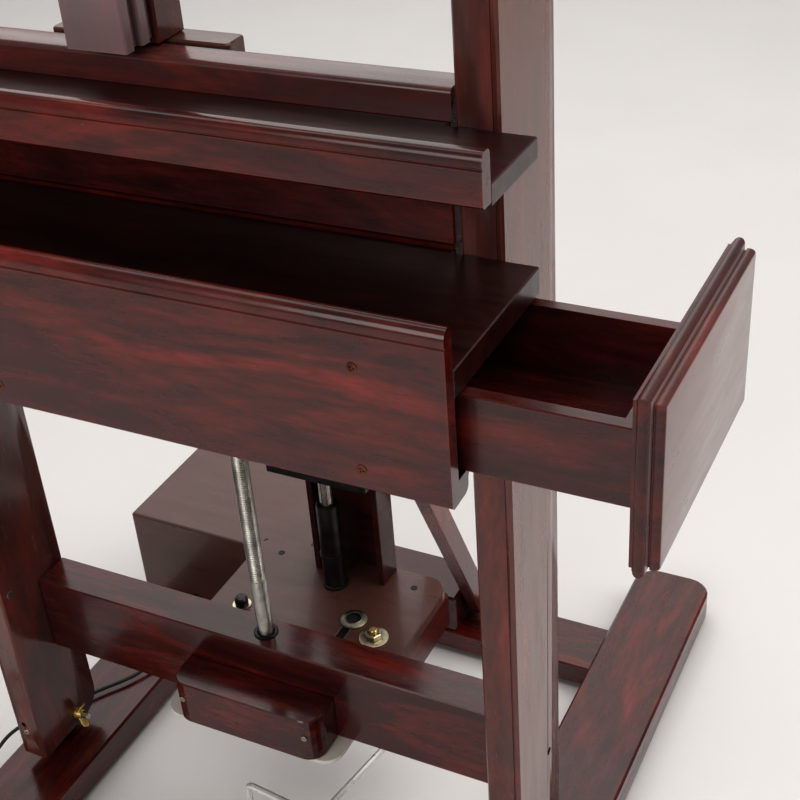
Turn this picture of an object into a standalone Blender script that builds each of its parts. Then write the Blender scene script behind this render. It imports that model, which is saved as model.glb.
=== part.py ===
"""Crank-style H frame studio easel with a tray box, side drawer, sliding mast and tilting frame.

Metres, +Z up, the painter stands at -Y. Every sub-part is one closed solid.
Body positions are written in the easel's own layout, whose zero is the middle of the uprights' front
faces on the floor; the root empty then moves that layout so that the footprint is centred on the origin.
"""
import math

import bmesh
import bpy
from mathutils import Matrix, Vector

for old in list(bpy.data.objects):
    bpy.data.objects.remove(old, do_unlink=True)

# ---- driving dimensions ----
GAP = 0.0003                  # fit between touching pieces
ARRIS = 0.0016                # softened timber edge

BASE_HALF = 0.371             # half width over the runners
RUNNER_IN = 0.265
RUNNER_Z = (0.0066, 0.0498)
RUNNER_Y = (-0.160, 0.657)
RAIL_Y = (0.434, 0.520)

UPRIGHT_IN = 0.3075           # inner face of an upright
UPRIGHT_W = 0.036
UPRIGHT_D = 0.1108
UPRIGHT_Z = (0.066, 1.620)
PIVOT_Y = 0.068               # tilt hinge of the frame
PIVOT_Z = 0.086

CROSSBAR_Y = 0.063
CROSSBAR_Z = (0.208, 0.314)
SCREW_Y = 0.087               # lead screw centre line
SCREW_R = 0.0092
ACTUATOR_Y = 0.245
PLATFORM_Z = (0.2450, 0.2600)
PLATFORM_BACK = 0.300
LIFT_Z = 0.4245               # underside of the tilt actuator's head

TRAY_HALF = 0.3724
PANEL_Y = (-0.1735, -0.1615)
BOX_Z = (0.775, 0.8618)
SHELF_Z = (0.8621, 0.8852)
TRAY_Z = (0.973, 0.9904)

MAST_HALF = 0.0300
MAST_Z = (1.0245, 2.020)
FOOT_Z = (0.995, 1.018)       # block behind the tray rail that carries the mast

BRACE_Y = 0.483               # lower pivot of the rear struts
BRACE_Z = 0.070
BRACE_LEAN = math.radians(25.7)
BRACE_TOP = 0.765
YOKE_Y = 0.180
YOKE_Z = 0.700

DRAWER_OUT = 0.498            # back of the drawer front as it stands open
DRAWER_LENGTH = 0.340

FACE_X = 0.520
CENTRE_X = (FACE_X - TRAY_HALF) / 2
CENTRE_Y = (RUNNER_Y[1] + PANEL_Y[0]) / 2

# ---- collection and materials ----
easel = bpy.data.collections.new("h_frame_easel")
bpy.context.scene.collection.children.link(easel)

PALETTE = {
    "dark_walnut": ((0.050, 0.022, 0.014, 1.0), 0.24, 0.0),
    "pale_ply": ((0.55, 0.47, 0.36, 1.0), 0.55, 0.0),
    "zinc_steel": ((0.42, 0.41, 0.38, 1.0), 0.32, 1.0),
    "blackened_steel": ((0.035, 0.033, 0.032, 1.0), 0.38, 1.0),
    "brass": ((0.60, 0.44, 0.20, 1.0), 0.30, 1.0),
    "black_rubber": ((0.018, 0.018, 0.018, 1.0), 0.60, 0.0),
    "black_plastic": ((0.020, 0.020, 0.021, 1.0), 0.35, 0.0),
}
materials = {}
for mat_name, (colour, roughness, metallic) in PALETTE.items():
    material = bpy.data.materials.new(mat_name)
    material.use_nodes = True
    shader = material.node_tree.nodes["Principled BSDF"]
    shader.inputs["Base Color"].default_value = colour
    shader.inputs["Roughness"].default_value = roughness
    shader.inputs["Metallic"].default_value = metallic
    materials[mat_name] = material


# ---- one empty carries the layout; each moving piece has its own origin on its joint's axis ----
origin = bpy.data.objects.new("easel_layout", None)
origin.empty_display_size = 0.03
origin.location = (-CENTRE_X, -CENTRE_Y, 0.0)
easel.objects.link(origin)
JOINT_AT = {
    "base": (0, 0, 0),
    "frame": (0, PIVOT_Y, PIVOT_Z),
    "brace": (0, BRACE_Y, BRACE_Z),
    "carriage": (0, 0, SHELF_Z[0]),
    "drawer": (DRAWER_OUT, -0.077, BOX_Z[0]),
    "mast": (0, 0, MAST_Z[0]),
    "lift": (0, ACTUATOR_Y, LIFT_Z),
    "screw": (0, SCREW_Y, CROSSBAR_Z[0]),
    "clamp": (0, -0.016, 1.710),
    "knob": (0, -0.062, 1.710),
    "wing_left": (-UPRIGHT_IN, PIVOT_Y, PIVOT_Z),
    "wing_right": (UPRIGHT_IN, PIVOT_Y, PIVOT_Z),
    "lever": (0.120, 0.200, 0.100),
}


# ---- shape helpers ----
def add(name, mesh, body, mat, place=(0, 0, 0), smooth=False):
    """Make an object from a mesh drawn around `place`, with its origin on its body's joint."""
    obj = bpy.data.objects.new(name, mesh)
    easel.objects.link(obj)
    mesh.materials.append(materials[mat])
    joint = Vector(JOINT_AT[body])
    mesh.transform(Matrix.Translation(Vector(place) - joint))
    obj.parent = origin
    obj.location = joint
    if smooth:
        for face in obj.data.polygons:
            face.use_smooth = len(face.vertices) == 4
    return obj


def soften(obj, width, segments=1):
    if width:
        bevel = obj.modifiers.new("softened edges", "BEVEL")
        bevel.width = width
        bevel.segments = segments
        bevel.limit_method = "ANGLE"
        bevel.angle_limit = math.radians(40)
    return obj


def block(name, body, mat, x, y, z, arris=ARRIS, segments=1):
    """A box from its two faces on each axis."""
    spans = (x, y, z)
    centre = Vector([(lo + hi) / 2 for lo, hi in spans])
    bm = bmesh.new()
    bmesh.ops.create_cube(bm, size=1.0)
    bmesh.ops.scale(bm, vec=[hi - lo for lo, hi in spans], verts=bm.verts)
    mesh = bpy.data.meshes.new(name)
    bm.to_mesh(mesh)
    bm.free()
    return soften(add(name, mesh, body, mat, centre), arris, segments)


def round_corner(before, corner, after, radius, steps=5):
    """Points of the arc that rounds one corner of an outline."""
    corner = Vector(corner)
    a = (Vector(before) - corner).normalized()
    b = (Vector(after) - corner).normalized()
    half = a.angle(b) / 2
    centre = corner + (a + b).normalized() * radius / math.sin(half)
    start = corner + a * radius / math.tan(half) - centre
    end = corner + b * radius / math.tan(half) - centre
    turn = start.angle_signed(end)
    points = []
    for step in range(steps + 1):
        angle = -turn * step / steps
        points.append((
            centre.x + start.x * math.cos(angle) - start.y * math.sin(angle),
            centre.y + start.x * math.sin(angle) + start.y * math.cos(angle),
        ))
    return points


def outline(corners):
    """An outline from (u, v) corners, or (u, v, radius) where a corner is rounded."""
    points = []
    for i, corner in enumerate(corners):
        if len(corner) == 2:
            points.append(corner)
            continue
        before = corners[i - 1][:2]
        after = corners[(i + 1) % len(corners)][:2]
        points += round_corner(before, corner[:2], after, corner[2])
    return points


def prism(name, body, mat, axis, corners, span, arris=ARRIS):
    """Extrude an outline along one axis; it is drawn in the other two, in X, Y, Z order."""
    bm = bmesh.new()
    rings = []
    for level in span:
        ring = []
        for u, v in outline(corners):
            spot = {"X": (level, u, v), "Y": (u, level, v), "Z": (u, v, level)}[axis]
            ring.append(bm.verts.new(spot))
        rings.append(ring)
    count = len(rings[0])
    for i in range(count):
        j = (i + 1) % count
        bm.faces.new((rings[0][i], rings[0][j], rings[1][j], rings[1][i]))
    bm.faces.new(rings[0][::-1])
    bm.faces.new(rings[1])
    bmesh.ops.recalc_face_normals(bm, faces=bm.faces)
    mesh = bpy.data.meshes.new(name)
    bm.to_mesh(mesh)
    bm.free()
    return soften(add(name, mesh, body, mat), arris)


def turned(name, body, mat, axis, place, profile, sides=28, closed=False):
    """Turn a profile of (radius, height) about an axis; a closed profile gives a ring or a tube."""
    bm = bmesh.new()
    rows = []
    for radius, height in profile:
        count = sides if radius > 0 else 1
        row = []
        for i in range(count):
            angle = 2 * math.pi * i / sides
            u, v = radius * math.cos(angle), radius * math.sin(angle)
            spot = {"X": (height, u, v), "Y": (v, height, u), "Z": (u, v, height)}[axis]
            row.append(bm.verts.new(spot))
        rows.append(row)
    pairs = list(zip(rows, rows[1:] + rows[:1])) if closed else list(zip(rows, rows[1:]))
    for low, high in pairs:
        for i in range(sides):
            corners = [low[i % len(low)], low[(i + 1) % len(low)],
                       high[(i + 1) % len(high)], high[i % len(high)]]
            distinct = list(dict.fromkeys(corners))
            if len(distinct) > 2:
                bm.faces.new(distinct)
    if not closed:
        for row in (rows[0], rows[-1]):
            if len(row) > 1:
                bm.faces.new(row)
    bmesh.ops.recalc_face_normals(bm, faces=bm.faces)
    mesh = bpy.data.meshes.new(name)
    bm.to_mesh(mesh)
    bm.free()
    return add(name, mesh, body, mat, place, smooth=True)


def rod(name, body, mat, points, radius, sides=2):
    """A round bar bent through a list of points."""
    curve = bpy.data.curves.new(name + "_path", "CURVE")
    curve.dimensions = "3D"
    curve.bevel_depth = radius
    curve.bevel_resolution = sides
    curve.use_fill_caps = True
    spline = curve.splines.new("POLY")
    spline.points.add(len(points) - 1)
    for point, spot in zip(spline.points, points):
        point.co = (*spot, 1.0)
    shape = bpy.data.objects.new(name + "_path", curve)
    mesh = bpy.data.meshes.new_from_object(shape)
    bpy.data.objects.remove(shape, do_unlink=True)
    bpy.data.curves.remove(curve)
    bm = bmesh.new()
    bm.from_mesh(mesh)
    bmesh.ops.remove_doubles(bm, verts=bm.verts, dist=1e-5)
    bmesh.ops.recalc_face_normals(bm, faces=bm.faces)
    bm.to_mesh(mesh)
    bm.free()
    mesh.name = name
    mesh.materials.clear()
    return add(name, mesh, body, mat, smooth=True)


def drilled(obj, mat, *cutters):
    """Take cutters away from a piece, then drop them."""
    for tool in cutters:
        boolean = obj.modifiers.new("cut", "BOOLEAN")
        boolean.operation = "DIFFERENCE"
        boolean.solver = "EXACT"
        boolean.object = tool
    bpy.context.view_layer.update()
    depsgraph = bpy.context.evaluated_depsgraph_get()
    mesh = bpy.data.meshes.new_from_object(obj.evaluated_get(depsgraph))
    bm = bmesh.new()
    bm.from_mesh(mesh)
    bmesh.ops.remove_doubles(bm, verts=bm.verts, dist=1e-5)
    bm.to_mesh(mesh)
    bm.free()
    obj.modifiers.clear()
    obj.data = mesh
    mesh.materials.clear()
    mesh.materials.append(materials[mat])
    for tool in cutters:
        bpy.data.objects.remove(tool, do_unlink=True)
    return obj


def drill(body, axis, place, radius, length, sides=24):
    """A cutter for a round hole centred on `place`."""
    half = length / 2
    profile = [(radius, -half), (radius, half)]
    return turned("cutter", body, "zinc_steel", axis, place, profile, sides)


def mirrored(inner, outer, side):
    """An X span on one side of the easel."""
    return (inner, outer) if side > 0 else (-outer, -inner)


WOOD = "dark_walnut"
SIDES = (("left", -1), ("right", 1))


# ---- base ----
def make_base():
    for label, side in SIDES:
        inner, outer = mirrored(RUNNER_IN, BASE_HALF, side)
        front, back = RUNNER_Y
        corners = [(inner, front, 0.02), (outer, front, 0.02), (outer, back, 0.03), (inner, back, 0.03)]
        prism("runner_" + label, "base", WOOD, "Z", corners, RUNNER_Z, 0.003)
        block("foot_strip_" + label, "base", "black_rubber", mirrored(0.295, 0.341, side),
              (front + 0.025, back - 0.030), (0.0, RUNNER_Z[0] - GAP), 0.001)
        outside = UPRIGHT_IN + UPRIGHT_W
        x0, x1, x2 = outside + 0.0005, outside + 0.0045, 0.368
        foot = RUNNER_Z[1] + GAP
        angle = [(side * x0, foot), (side * x2, foot), (side * x2, foot + 0.0035),
                 (side * x1, foot + 0.0035), (side * x1, 0.120), (side * x0, 0.120)]
        bracket = prism("pivot_bracket_" + label, "base", "blackened_steel", "Y", angle,
                        (0.045, 0.095), 0)
        drilled(bracket, "blackened_steel",
                drill("base", "X", (side * x0, PIVOT_Y, PIVOT_Z), 0.0054, 0.02))
        bolt = [(0.0045, -0.058), (0.0045, 0.0), (0.0095, 0.0001), (0.0095, 0.004), (0.008, 0.0055)]
        if side < 0:
            bolt = [(radius, -height) for radius, height in bolt]
        turned("pivot_bolt_" + label, "base", "zinc_steel", "X",
               (side * (x1 + GAP), PIVOT_Y, PIVOT_Z), bolt, 24)
    block("rear_rail", "base", WOOD, (-RUNNER_IN + 0.0005, RUNNER_IN - 0.0005), RAIL_Y, (0.008, 0.040), 0.002)
    brace_block = block("brace_block", "base", WOOD, (-0.0677, 0.0677), (0.436, 0.516),
                        (0.040 + GAP, 0.100), 0.003)
    drilled(brace_block, WOOD, drill("base", "X", (0, BRACE_Y, BRACE_Z), 0.0054, 0.2))
    turned("brace_axle", "base", "zinc_steel", "X", (0, BRACE_Y, BRACE_Z),
           [(0.0050, -0.0945), (0.0050, 0.0945)], 20)
    shell = block("motor_box", "base", WOOD, (-BASE_HALF, -0.096), (0.318, 0.500),
                  (RUNNER_Z[1] + GAP, 0.214), 0.003, 2)
    hollow = block("cutter_hollow", "base", WOOD, (-0.362, -0.105), (0.327, 0.491), (0.02, 0.205), 0)
    drilled(shell, WOOD, hollow)


# ---- tilting H frame ----
def make_frame():
    for label, side in SIDES:
        low, high = UPRIGHT_Z
        corners = [(0, low), (UPRIGHT_D, low, 0.030), (UPRIGHT_D, high), (0, high)]
        upright = prism("upright_" + label, "frame", WOOD, "X", corners,
                        mirrored(UPRIGHT_IN, UPRIGHT_IN + UPRIGHT_W, side), 0.002)
        drilled(upright, WOOD, drill("frame", "X", (side * 0.3255, PIVOT_Y, PIVOT_Z), 0.0054, 0.06))
        block("platform_beam_" + label, "frame", WOOD, mirrored(0.112, 0.129, side),
              (UPRIGHT_D + GAP, 0.296), (0.195, PLATFORM_Z[0] - GAP))
    reach = UPRIGHT_IN - GAP
    lower = block("lower_crossbar", "frame", WOOD, (-reach, reach), (CROSSBAR_Y, UPRIGHT_D), CROSSBAR_Z)
    drilled(lower, WOOD, drill("frame", "Z", (0, SCREW_Y, 0.261), 0.0112, 0.2))
    wide = UPRIGHT_IN + UPRIGHT_W
    block("mid_crossbar", "frame", WOOD, (-wide, wide), (UPRIGHT_D + GAP, 0.145), (0.600, 0.700))
    inner, outer, face, lug = MAST_HALF + 0.0005, MAST_HALF + 0.0165, 0.070, 0.044
    rail = [(-reach, face), (-outer, face), (-outer, lug, 0.003), (-inner, lug), (-inner, face),
            (inner, face), (inner, lug), (outer, lug, 0.003), (outer, face), (reach, face),
            (reach, UPRIGHT_D), (-reach, UPRIGHT_D)]
    prism("top_crossbar", "frame", WOOD, "Z", rail, (1.540, 1.620))
    turned("screw_bushing", "frame", "zinc_steel", "Z", (0, SCREW_Y, CROSSBAR_Z[1] + GAP),
           [(0.0102, 0), (0.0140, 0), (0.0140, 0.0008), (0.0132, 0.0014), (0.0102, 0.0014)], 32, closed=True)
    front = [(-0.095, 0.0165, 0.020), (0.095, 0.0165, 0.020), (0.095, CROSSBAR_Y - GAP),
             (-0.095, CROSSBAR_Y - GAP)]
    prism("gear_cover", "frame", WOOD, "Z", front, (CROSSBAR_Z[0], 0.268), 0.0015)
    plate = [(-0.118, 0.0225, 0.022), (0.112, 0.0225, 0.022), (0.112, UPRIGHT_D), (-0.118, UPRIGHT_D)]
    prism("gear_plate", "frame", "pale_ply", "Z", plate, (0.203, CROSSBAR_Z[0] - GAP), 0.0006)


def make_platform():
    corners = [(-0.131, UPRIGHT_D + 0.0007), (0.131, UPRIGHT_D + 0.0007),
               (0.131, PLATFORM_BACK, 0.025), (-0.131, PLATFORM_BACK, 0.025)]
    board = prism("platform_board", "frame", WOOD, "Z", corners, PLATFORM_Z, 0.0015)
    drilled(board, WOOD, drill("frame", "Z", (0, ACTUATOR_Y, 0.25), 0.0146, 0.06))
    top = PLATFORM_Z[1] + GAP
    turned("actuator_tube", "frame", "blackened_steel", "Z", (0, ACTUATOR_Y, 0),
           [(0.0095, 0.070), (0.014, 0.070), (0.014, top), (0.0155, top), (0.0155, top + 0.004),
            (0.014, top + 0.004), (0.014, 0.305), (0.0155, 0.305), (0.0155, 0.312), (0.014, 0.312),
            (0.014, 0.385), (0.0095, 0.385)], 28, closed=True)
    block("platform_rear_beam", "frame", WOOD, (-0.1115, 0.1115), (0.264, 0.295), (0.215, PLATFORM_Z[0] - GAP))
    left, right, wall, front, back = -0.0380, 0.0585, 0.008, 0.262, 0.298
    channel = [(left, front), (left + wall, front), (left + wall, back - wall), (right - wall, back - wall),
               (right - wall, front), (right, front), (right, back), (left, back)]
    prism("lift_channel", "frame", WOOD, "Z", channel, (top, 0.620), 0.0008)
    turned("platform_ferrule", "frame", "zinc_steel", "Z", (0.052, 0.193, top),
           [(0.0085, 0), (0.0165, 0), (0.0165, 0.003), (0.0155, 0.004), (0.0085, 0.004)], 32, closed=True)
    bracket = block("lever_bracket", "frame", "blackened_steel", (0.1155, 0.1275), (0.188, 0.212),
                    (0.088, 0.195 - GAP), 0.001)
    drilled(bracket, "blackened_steel", drill("frame", "X", (0.1215, 0.200, 0.100), 0.0045, 0.04, 20))


def make_yoke():
    """The fork on the middle rail and the pin that the struts' slots ride on."""
    fork = [(-0.098, 0.1453), (0.098, 0.1453), (0.098, 0.195), (0.094, 0.195), (0.094, 0.1485),
            (-0.094, 0.1485), (-0.094, 0.195), (-0.098, 0.195)]
    yoke = prism("brace_yoke", "frame", "blackened_steel", "Z", fork, (0.660, 0.718), 0)
    drilled(yoke, "blackened_steel", drill("frame", "X", (0, YOKE_Y, YOKE_Z), 0.0043, 0.22, 20))
    turned("brace_pin", "frame", "zinc_steel", "X", (0, YOKE_Y, YOKE_Z),
           [(0.0040, -0.102), (0.0040, 0.102)], 20)


# ---- slotted rear struts ----
def make_braces():
    for label, side in SIDES:
        strut = block("brace_" + label, "brace", WOOD, mirrored(0.070, 0.090, side),
                      (BRACE_Y - 0.016, BRACE_Y + 0.016), (BRACE_Z - 0.018, BRACE_Z + BRACE_TOP), 0.002)
        slot = block("cutter_slot", "brace", WOOD, (-0.12, 0.12), (BRACE_Y - 0.0065, BRACE_Y + 0.0065),
                     (BRACE_Z + 0.620, BRACE_Z + 0.745), 0)
        hole = drill("brace", "X", (0, BRACE_Y, BRACE_Z), 0.0056, 0.24)
        drilled(strut, WOOD, slot, hole)
        strut.rotation_euler.x = BRACE_LEAN


# ---- carriage: tray, shelf and drawer box that ride the uprights ----
def make_carriage():
    half = TRAY_HALF
    block("front_panel", "carriage", WOOD, (-half, half), PANEL_Y, (BOX_Z[0], 0.9227), 0.003, 2)
    back = -GAP
    for name, tongue, z in (("lower_shelf", 0.0040, SHELF_Z), ("tray_board", 0.0057, TRAY_Z)):
        front = PANEL_Y[1] + GAP if name == "lower_shelf" else -0.087
        corners = [(-half, front), (half, front), (half, back), (0.2998, back), (0.2998, tongue),
                   (-0.2998, tongue), (-0.2998, back), (-half, back)]
        prism(name, "carriage", WOOD, "Z", corners, z, 0.001)
    block("tray_lip", "carriage", WOOD, (-half, half), (-0.1015, -0.0873), (0.977, 1.0177), 0.004, 2)
    block("tray_rail", "carriage", WOOD, (-0.3017, 0.3017), (0.0060, 0.0400),
          (TRAY_Z[1] + GAP, 1.0165), 0.006, 2)
    block("back_board", "carriage", WOOD, (-0.2998, 0.2998), (0.0060, 0.0260), (0.8878, TRAY_Z[1]))
    block("rear_apron", "carriage", WOOD, (-0.2998, 0.2998), (0.0043, 0.0243), (BOX_Z[0], 0.8875))
    block("box_end", "carriage", WOOD, (-half, -0.354), (PANEL_Y[1] + GAP, back), BOX_Z)
    block("drawer_cleat", "carriage", WOOD, (-0.3535, 0.3722), (PANEL_Y[1] + GAP, -0.125),
          (BOX_Z[0], 0.794), 0.003, 2)
    nut = block("nut_block", "carriage", "zinc_steel", (-0.030, 0.030), (0.0246, 0.108), (0.840, 0.887))
    drilled(nut, "zinc_steel", drill("carriage", "Z", (0, SCREW_Y, 0.86), 0.0102, 0.1))


def make_drawer():
    inner = DRAWER_OUT - DRAWER_LENGTH
    front = DRAWER_OUT - GAP
    box = block("drawer_box", "drawer", WOOD, (inner, front), (-0.150, -0.004), (0.7945, 0.860), 0.001)
    room = block("cutter_room", "drawer", WOOD, (inner + 0.011, front - 0.011), (-0.139, -0.015),
                 (0.8005, 0.88), 0)
    drilled(box, WOOD, room)
    block("drawer_face", "drawer", WOOD, (DRAWER_OUT, FACE_X), (-0.165, 0.075), (0.748, 0.895), 0.006, 2)


# ---- mast, and the actuator that tilts the frame against the struts ----
def make_mast():
    bottom, top = MAST_Z
    wide, narrow = MAST_HALF, 0.0240
    edge = [(wide, -0.0160), (wide, -0.0041), (narrow, -0.0041), (narrow, 0.0059), (wide, 0.0059),
            (wide, 0.0178), (narrow, 0.0178), (narrow, 0.0277)]
    laminate = edge + [(-u, v) for u, v in reversed(edge)]
    prism("mast_board", "mast", WOOD, "Z", laminate, (bottom, top), 0.001)
    block("mast_post", "mast", WOOD, (-wide, wide), (0.0280, 0.0665), (FOOT_Z[1] + GAP, top))
    foot = [(-0.095, 0.044, 0.005), (0.086, 0.044, 0.005), (0.086, 0.072, 0.005), (-0.095, 0.072, 0.005)]
    prism("mast_foot", "mast", WOOD, "Z", foot, FOOT_Z, 0.0015)


def make_tilt_lift():
    """The actuator's rod, the head between the struts and the slider that keeps it square."""
    turned("actuator_rod", "lift", "zinc_steel", "Z", (0, ACTUATOR_Y, 0),
           [(0.0080, 0.110), (0.0080, LIFT_Z - GAP)], 24)
    block("lift_head", "lift", "blackened_steel", (-0.0685, 0.0640), (0.228, 0.2597), (LIFT_Z, 0.4495))
    block("lift_slider", "lift", WOOD, (-0.0280, 0.0485), (0.2600, 0.2870), (LIFT_Z, 0.490))


def make_canvas_clamp():
    wide, inner, back, front = 0.055, MAST_HALF + 0.0005, 0.0, -0.062
    face = -0.0165
    corners = [(-wide, front, 0.008), (wide, front, 0.008), (wide, back), (inner, back), (inner, face),
               (-inner, face), (-inner, back), (-wide, back)]
    prism("canvas_clamp", "clamp", WOOD, "Z", corners, (1.680, 1.740))
    turned("clamp_knob", "knob", "black_plastic", "Y", (0, front, 1.710),
           [(0.006, -GAP), (0.006, -0.008), (0.017, -0.010), (0.019, -0.015), (0.017, -0.024),
            (0.010, -0.027)], 28)


# ---- lead screw, wing nuts, foot lever ----
def make_lead_screw():
    turned("lead_screw", "screw", "zinc_steel", "Z", (0, SCREW_Y, 0),
           [(SCREW_R, CROSSBAR_Z[0] + GAP), (SCREW_R, 0.925), (0.006, 0.930)], 32)


def make_wing_nuts():
    """A drilled hub with two upright wings, one on each pivot bolt's inner end."""
    for label, side in SIDES:
        body = "wing_" + label
        x0 = UPRIGHT_IN - GAP
        x1 = x0 - 0.010
        hub = 0.0075
        wings = [
            (-hub, -0.003), (-hub * 0.8, -hub * 0.8), (0, -hub), (hub * 0.8, -hub * 0.8), (hub, -0.003),
            (hub, 0.004), (0.0062, 0.016), (0.0048, 0.019), (0.0028, 0.016), (0.0015, hub),
            (-0.0015, hub), (-0.0028, 0.016), (-0.0048, 0.019), (-0.0062, 0.016), (-hub, 0.004),
        ]
        points = [(PIVOT_Y + u, PIVOT_Z + v) for u, v in wings]
        nut = prism("wing_nut_" + label, body, "brass", "X", points, mirrored(x1, x0, side), 0)
        drilled(nut, "brass", drill(body, "X", (side * x0, PIVOT_Y, PIVOT_Z), 0.0048, 0.04))


def bent(points, radius, steps=5):
    """A path whose inner corners are rounded."""
    path = [points[0]]
    for before, corner, after in zip(points, points[1:], points[2:]):
        corner = Vector(corner)
        a = (Vector(before) - corner).normalized()
        b = (Vector(after) - corner).normalized()
        half = a.angle(b) / 2
        start = corner + a * radius / math.tan(half)
        end = corner + b * radius / math.tan(half)
        for step in range(steps + 1):
            t = step / steps
            path.append(tuple(start * (1 - t) ** 2 + corner * 2 * t * (1 - t) + end * t ** 2))
    path.append(points[-1])
    return path


def make_foot_lever():
    corners = [(0.1305, 0.200, 0.100), (0.1068, 0.200, 0.100), (0.0759, 0.029, 0.100),
               (-0.0282, 0.0403, 0.100), (-0.0282, 0.0403, 0.030)]
    rod("foot_lever", "lever", "zinc_steel", bent(corners, 0.010), 0.0040)


# ---- mains cord: tube along the floor, the coiled rest and the plug ----
CORD_R = 0.0025
CORD_ROUTE = [
    (-0.2830, 0.3032, 0.0850), (-0.2830, 0.2800, 0.0825), (-0.2850, 0.2300, 0.0650),
    (-0.2940, 0.1880, 0.0575), (-0.3060, 0.1640, 0.0568), (-0.3250, 0.1370, 0.0568),
    (-0.3450, 0.1055, 0.0568), (-0.3650, 0.0720, 0.0572), (-0.3870, 0.0350, 0.0560),
    (-0.3980, 0.0080, 0.0440), (-0.4030, -0.0220, 0.0210), (-0.4040, -0.0520, 0.0060),
    (-0.4025, -0.0850, 0.0028), (-0.4015, -0.1100, 0.0028), (-0.4012, -0.1310, 0.0028),
]
COIL = (-0.465, -0.165, 0.0)
COIL_R = 0.060


def smooth_route(points, steps=5):
    """Catmull-Rom points through a route."""
    ends = [points[0]] + list(points) + [points[-1]]
    path = []
    for i in range(1, len(ends) - 2):
        p0, p1, p2, p3 = (Vector(ends[k]) for k in (i - 1, i, i + 1, i + 2))
        for step in range(steps):
            t = step / steps
            path.append(0.5 * (2 * p1 + (p2 - p0) * t + (2 * p0 - 5 * p1 + 4 * p2 - p3) * t ** 2
                               + (3 * p1 - p0 - 3 * p2 + p3) * t ** 3))
    path.append(Vector(points[-1]))
    return path


def make_cord():
    rod("power_cord", "base", "black_rubber", smooth_route(CORD_ROUTE), CORD_R, 1)
    turned("cord_gland", "base", "black_plastic", "Y", (-0.283, 0.318 - GAP, 0.085),
           [(0.008, 0), (0.008, -0.005), (0.005, -0.006), (0.0045, -0.0136)], 20)
    turned("cord_coil", "base", "black_rubber", "Z", COIL,
           [(COIL_R - 0.007, 0.0), (COIL_R + 0.007, 0.0), (COIL_R + 0.007, 0.014), (COIL_R - 0.007, 0.014)],
           28, closed=True)
    block("cord_plug", "base", "black_plastic", (-0.5403, -0.5003), (-0.2495, -0.2235), (0.0, 0.020), 0.003, 2)


make_base()
make_frame()
make_platform()
make_yoke()
make_braces()
make_carriage()
make_drawer()
make_mast()
make_tilt_lift()
make_canvas_clamp()
make_lead_screw()
make_wing_nuts()
make_foot_lever()
make_cord()
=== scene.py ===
import math

import bmesh
import bpy
from mathutils import Matrix, Vector


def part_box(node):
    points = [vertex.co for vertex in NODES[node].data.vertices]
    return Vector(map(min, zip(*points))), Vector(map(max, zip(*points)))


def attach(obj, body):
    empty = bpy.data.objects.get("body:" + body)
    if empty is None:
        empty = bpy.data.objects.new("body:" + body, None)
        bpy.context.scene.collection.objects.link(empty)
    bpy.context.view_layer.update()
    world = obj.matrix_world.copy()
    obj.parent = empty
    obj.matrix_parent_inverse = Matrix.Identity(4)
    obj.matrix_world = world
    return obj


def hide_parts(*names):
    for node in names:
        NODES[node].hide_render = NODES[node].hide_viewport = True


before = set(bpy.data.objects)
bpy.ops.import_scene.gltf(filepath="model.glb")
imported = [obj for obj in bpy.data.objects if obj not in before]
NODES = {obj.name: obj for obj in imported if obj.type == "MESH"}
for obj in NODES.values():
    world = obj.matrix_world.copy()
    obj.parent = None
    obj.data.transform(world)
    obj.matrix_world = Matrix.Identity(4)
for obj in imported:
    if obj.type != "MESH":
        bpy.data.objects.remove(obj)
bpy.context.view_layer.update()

SCENE = bpy.context.scene

# The easel's layout: X from its middle plane, Y from the uprights' front faces, Z from the floor.
LAYOUT = Vector((
    (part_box("lead_screw")[0].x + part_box("lead_screw")[1].x) / 2,
    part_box("upright_left")[0].y,
    0.0,
))

SIDES = (("left", -1), ("right", 1))
TINY = 1e-5                                  # radius that stands for a turned piece's centre
HALF = 0.3724                                # half length of the tray box's mouldings
PANEL_FRONT, PANEL_BACK, PANEL_FOOT = -0.1735, -0.1615, 0.775
UPRIGHT_IN, UPRIGHT_OUT = 0.3075, 0.3435     # inner and outer faces of an upright
PIVOT_Y, PIVOT_Z = 0.068, 0.086              # axis of the H frame's pivot bolts
PLATFORM_TOP = 0.2603
THREAD_PITCH = 0.0030


def at(x, y, z):
    """A layout point in the shared frame."""
    return Vector((x, y, z)) + LAYOUT


def circle(radius, sides):
    """The points of a circle about its own centre."""
    turns = (2 * math.pi * i / sides for i in range(sides))
    return [(radius * math.cos(a), radius * math.sin(a)) for a in turns]


# ------------------------------------------------------------------ camera
CAMERA_AT = (0.7209, -0.8830, 1.3816)
AZIMUTH, ELEVATION, ROLL = (math.radians(a) for a in (28.434, 32.782, -4.549))
LENS, SENSOR = 62.84, 36.0


def make_camera():
    """The camera from its place, azimuth, elevation and roll about the line of sight."""
    back = Vector((math.sin(AZIMUTH) * math.cos(ELEVATION),
                   -math.cos(AZIMUTH) * math.cos(ELEVATION),
                   math.sin(ELEVATION)))
    level = Vector((math.cos(AZIMUTH), math.sin(AZIMUTH), 0.0))
    over = back.cross(level)
    right = math.cos(ROLL) * level + math.sin(ROLL) * over
    up = back.cross(right)
    data = bpy.data.cameras.new("camera")
    data.lens = LENS
    data.sensor_width = SENSOR
    data.clip_start = 0.02
    camera = bpy.data.objects.new("camera", data)
    SCENE.collection.objects.link(camera)
    turn = Matrix((right, up, back)).transposed().to_4x4()
    camera.matrix_world = Matrix.Translation(at(*CAMERA_AT)) @ turn
    SCENE.camera = camera


make_camera()


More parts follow.
